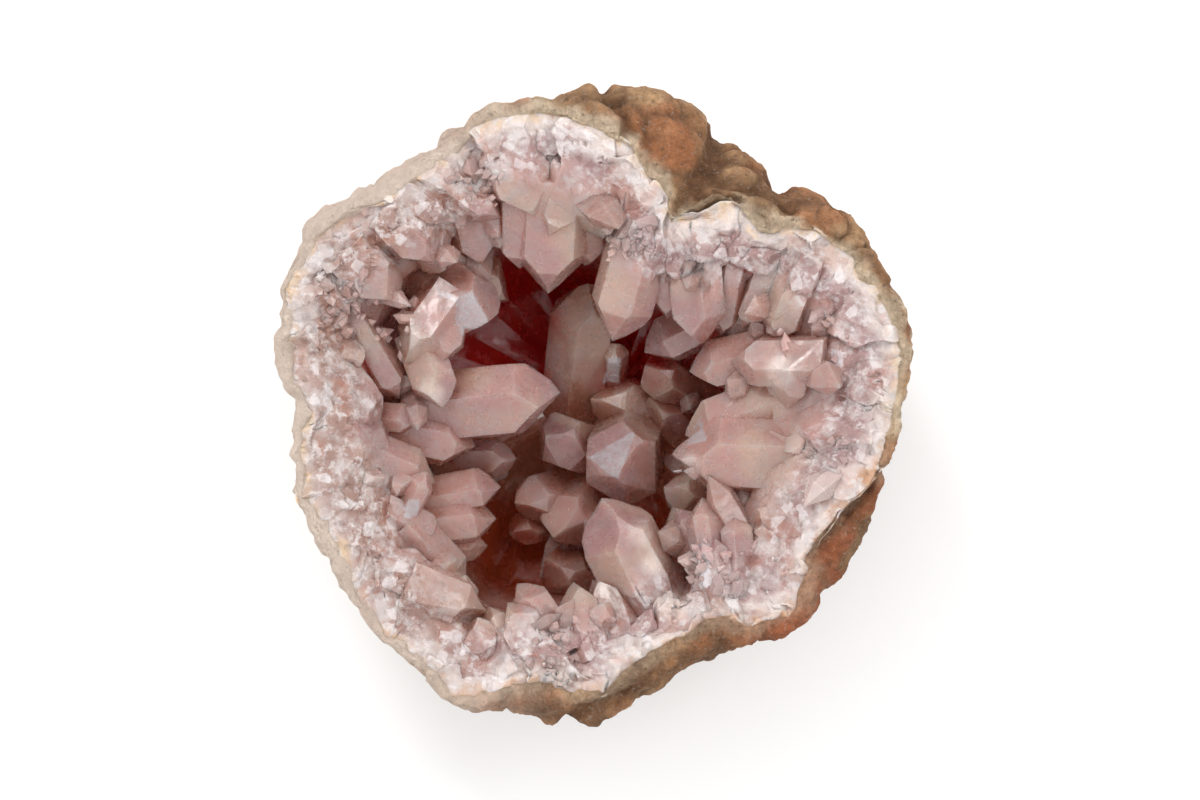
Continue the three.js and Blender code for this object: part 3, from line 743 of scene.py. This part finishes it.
def dress_crust():
    """The crust with its ragged rim, broken band, stains, painted shade in its closed-in places, painted
    light on its sharp edges and faces with a painted white shine.
    """
    hidden = hidden_points(crust_v, crust_f, rind_tree, True)
    v = np.column_stack([crust_v, hidden])

    def band_length(m):
        seen = np.where(m[:, 4] > 0.3, FINE_BAND, FINE_CRYSTAL)
        return np.where(m[:, 3] > ALL_HIDDEN, COARSE, seen)

    # finer edges on the faces where a white shine is painted
    def painted_shine_length(m):
        return np.where(painted_shine_faces(m, 0.05) & (m[:, 3] < ALL_HIDDEN), FINE_PAINTED_SHINE, COARSE)

    v, f = refine(v, crust_f, lambda m: np.where(m[:, 3] > ALL_HIDDEN, COARSE, FINE_CRYSTAL))
    v = np.column_stack([v, band_share(v)])
    v, f = refine(v, f, band_length)
    v, f = refine(v, f, painted_shine_length)
    hidden = v[:, 3]
    v = v[:, :3]
    away = rim_distance(v)
    n = vertex_normals(v, f)
    band = band_share(v)
    # faces where a white shine is painted
    frost_and_painted_shine = painted_shine_faces(v[f].mean(axis=1), 0.6)
    mean = smoothed(v, f, 1, np.ones(len(v)))
    sharp = step(0.08, 0.35, ((v - mean) * n).sum(axis=1) / FINE_CRYSTAL)
    shown = (hidden < 0.5) * step(0.0, 1.0, away)
    soft = 0.55 * fbm(v, 7.0, 211, 3) + 0.30 * facets(v, 4.6, 231, 0.5)
    calm = 0.10 * fbm(v, 3.5, 261, 3)
    v = v + n * ((soft * band + calm) * shown)[:, None]
    edge = step(1.4, 0.2, away) * step(RIM - 8.0, RIM - 4.0, v[:, 2])
    v[:, :2] *= (1.0 + 0.7 * edge / np.maximum(np.linalg.norm(v[:, :2], axis=1), 1.0))[:, None]
    v[:, 2] -= 0.5 * edge
    v = ragged(v)
    n = vertex_normals(v, f)
    free = np.ones(len(v))
    look = hidden < 0.5
    free[look] = openness(crust_tree, v[look], n[look], REACH, 7)
    free = smoothed(np.column_stack([free] * 3), f, 2, np.full(len(v), 0.5))[:, 0]
    tint, milk = crust_tint(v, free, away, band, sharp)
    back = hidden[f].min(axis=1) > 0.5
    materials = [QUARTZ, BED]
    piece("quartz_crust", v, f, tint, "crystal_crust", materials, 32.0, milk, frost_and_painted_shine, back)
    return v, n, hidden, band, free, tint


def grown(name, base, axis, width, length, sunk, tint, material, rng):
    """Small six-sided crystals with pointed ends, standing on the base points, as one mesh."""
    count = len(base)
    side = unit(np.cross(axis, rng.normal(size=(count, 3))))
    other = np.cross(axis, side)
    turn = np.arange(6) * math.pi / 3.0
    spread = rng.uniform(0.75, 1.12, (count, 6)) * width[:, None] / 2.0
    x = np.cos(turn) * spread
    y = np.sin(turn) * spread
    shoulder = length[:, None] - width[:, None] * rng.uniform(0.4, 0.9, (count, 6))
    foot = np.repeat(-sunk[:, None], 6, axis=1)
    tip_x = 0.12 * width * rng.normal(size=count)
    tip_y = 0.12 * width * rng.normal(size=count)
    tip = np.stack([tip_x, tip_y, length], 1)[:, None, :]
    local = np.concatenate([np.stack([x, y, foot], 2), np.stack([x, y, shoulder], 2), tip], axis=1)
    points = base[:, None, :] + np.einsum("nij,njk->nik", local, np.stack([side, other, axis], 1))
    faces = [[0, k + 1, k] for k in range(1, 5)]
    for k in range(6):
        j = (k + 1) % 6
        faces += [[k, j, 6 + j], [k, 6 + j, 6 + k], [6 + k, 6 + j, 12]]
    faces = (np.array(faces)[None] + CRYSTAL_CORNERS * np.arange(count)[:, None, None]).reshape(-1, 3)
    shade = np.clip(rng.uniform(0.94, 1.08, count)[:, None] * tint, 0.0, 0.93)
    piece(
        name,
        points.reshape(-1, 3),
        faces,
        np.repeat(shade, CRYSTAL_CORNERS, axis=0),
        "crystal_crust",
        [material],
        20.0,
        np.full(CRYSTAL_CORNERS * count, 0.3),
    )


def dress_druse(v, n, hidden, band, free, tint):
    """Small crystals between the large ones and on the broken rim."""
    rng = np.random.default_rng(GRAIN_SEED)
    seen = hidden < 0.01
    closed = 1.0 - free
    clear = np.ones(len(v))
    for x, y, z, radius, _ in STAINS:
        clear *= step(0.75 * radius, 1.1 * radius, np.linalg.norm(v - np.array([x, y, z]), axis=1))
    for px, py, radius in OPEN:
        x, y = place(px, py)
        clear *= step(radius, radius + 1.5, np.hypot(v[:, 0] - x, v[:, 1] - y))
    clear *= step(20.0, 26.0, v[:, 2])
    inward = unit(np.array([0.0, 0.0, RIM + 20.0]) - v)

    weight = np.zeros(len(v))
    for px, py, radius in CLUSTERS:
        x, y = place(px, py)
        weight += step(radius, 0.4 * radius, np.hypot(v[:, 0] - x, v[:, 1] - y)) / radius**2
    weight *= seen * step(30.0, 40.0, v[:, 2])
    seat = rng.choice(len(v), SUGAR, replace=False, p=weight / weight.sum())
    width = np.exp(rng.normal(0.45, 0.35, SUGAR))
    length = width * rng.uniform(0.3, 1.0, SUGAR)
    flat = inward * np.array([1.0, 1.0, 0.0])
    axis = unit(n[seat] + 0.4 * flat[seat] + rng.normal(0.0, 0.35, (SUGAR, 3)))
    shade = blend(tint[seat], linear(222, 202, 199), np.full(SUGAR, 0.35))
    grown("druse", v[seat], axis, width, length, 0.8 * width, shade, SMALL_QUARTZ, rng)

    weight = seen * (1.0 - band) * clear * step(0.45, 0.70, closed) * step(8.0, 16.0, v[:, 2])
    seat = rng.choice(len(v), FILL, replace=False, p=weight / weight.sum())
    width = np.clip(np.exp(rng.normal(1.5, 0.3, FILL)), 2.5, 7.0)
    length = width * rng.uniform(0.5, 1.3, FILL)
    axis = unit(0.8 * n[seat] + 0.6 * inward[seat] + rng.normal(0.0, 0.25, (FILL, 3)))
    shade = blend(tint[seat], linear(218, 184, 176), np.full(FILL, 0.6))
    grown("wall_crystals", v[seat], axis, width, length, 0.7 * width, shade, QUARTZ, rng)


QUARTZ = quartz_material("pink_quartz", 0.12, 0.57, 0.0040)
SMALL_QUARTZ = quartz_material("small_quartz", 0.10, 0.32, 0.0006)
BED = bed_material()
dress_rind()
dress_druse(*dress_crust())

# Floor, light and camera

floor_mesh = bpy.data.meshes.new("floor")
floor_mesh.from_pydata([(-3, -3, 0), (3, -3, 0), (3, 3, 0), (-3, 3, 0)], [], [(0, 1, 2, 3)])
floor = bpy.data.objects.new("floor", floor_mesh)
bpy.context.scene.collection.objects.link(floor)
paper = bpy.data.materials.new("white_paper")
paper.use_nodes = True
paper_shader = paper.node_tree.nodes["Principled BSDF"]
paper_shader.inputs["Base Color"].default_value = (0.95, 0.95, 0.95, 1.0)
paper_shader.inputs["Roughness"].default_value = 0.9
floor_mesh.materials.append(paper)

world = bpy.data.worlds.new("studio")
bpy.context.scene.world = world
world.use_nodes = True
world.node_tree.nodes["Background"].inputs["Color"].default_value = (1.0, 1.0, 1.0, 1.0)
world.node_tree.nodes["Background"].inputs["Strength"].default_value = 1.17


def lamp(name, place, size, power):
    light = bpy.data.lights.new(name, "AREA")
    light.shape = "DISK"
    light.size = size
    light.energy = power
    obj = bpy.data.objects.new(name, light)
    obj.location = place
    obj.rotation_euler = (Vector((0.0, 0.0, 0.03)) - obj.location).to_track_quat("-Z", "Y").to_euler()
    bpy.context.scene.collection.objects.link(obj)


lamp("key", (-0.28, 0.60, 0.85), 0.32, 3.6)
lamp("fill", (0.50, 0.25, 0.95), 0.30, 1.2)

camera = bpy.data.cameras.new("camera")
camera.sensor_width = 36.0
camera.lens = camera.sensor_width * PIXELS_PER_MM * EYE / PHOTO_WIDTH
eye = bpy.data.objects.new("camera", camera)
eye.location = (0.0008, 0.0011, (RIM + EYE) * MM)
bpy.context.scene.collection.objects.link(eye)
bpy.context.scene.camera = eye
bpy.context.scene.view_settings.view_transform = "Standard"
